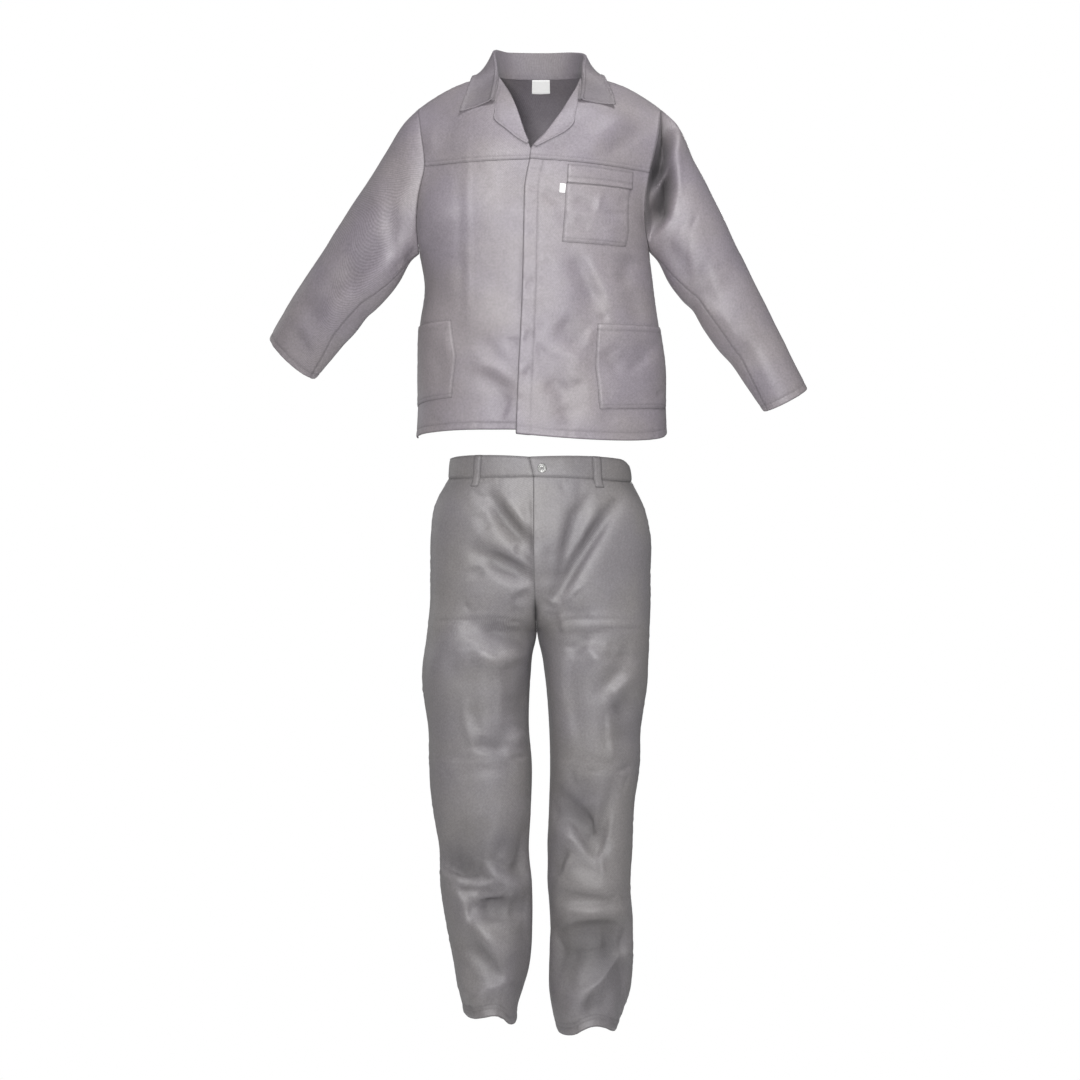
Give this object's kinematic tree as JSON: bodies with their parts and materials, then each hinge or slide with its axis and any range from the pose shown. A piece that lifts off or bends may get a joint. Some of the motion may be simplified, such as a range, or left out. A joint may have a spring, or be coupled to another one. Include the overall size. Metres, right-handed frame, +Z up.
{
  "type": "two-piece work overalls",
  "caption": "Work jacket with a collar, above matching work trousers, both hollow and open at neck, cuffs, hems and waist, in the form they have when worn.",
  "frame": {"origin": "mount wearer_shoulders: on the jacket's middle plane, level with the neck ends of the shoulder seams", "axes": "+Z up, +X to the wearer's left, the front faces -Y"},
  "size_m": [1.0564, 0.3027, 1.913],
  "materials": {
    "jacket_cloth": "matte twill",
    "trouser_cloth": "matte twill",
    "label_cloth": "matte",
    "button_metal": "satin"
  },
  "bodies": {
    "root": {"back": "jacket_cloth", "front_lower_left": "jacket_cloth", "front_lower_right": "jacket_cloth", "front_yoke_left": "jacket_cloth", "front_yoke_right": "jacket_cloth", "placket": "jacket_cloth", "sleeve_left": "jacket_cloth", "sleeve_right": "jacket_cloth", "undersleeve_left": "jacket_cloth", "undersleeve_right": "jacket_cloth", "collar": "jacket_cloth", "lapel_left": "jacket_cloth", "lapel_right": "jacket_cloth", "pocket_chest": "jacket_cloth", "pocket_flap": "jacket_cloth", "pocket_lower_left": "jacket_cloth", "pocket_lower_right": "jacket_cloth", "trousers_front_left": "trouser_cloth", "trousers_front_right": "trouser_cloth", "trousers_back_left": "trouser_cloth", "trousers_back_right": "trouser_cloth", "fly": "trouser_cloth", "waistband_left": "trouser_cloth", "waistband_right": "trouser_cloth", "waistband_back": "trouser_cloth", "belt_loop_front_left": "trouser_cloth", "belt_loop_front_right": "trouser_cloth", "belt_loop_side_left": "trouser_cloth", "belt_loop_side_right": "trouser_cloth", "belt_loop_back": "trouser_cloth", "neck_label": "label_cloth", "side_tab": "label_cloth", "button": "button_metal"}
  },
  "joints": []
}
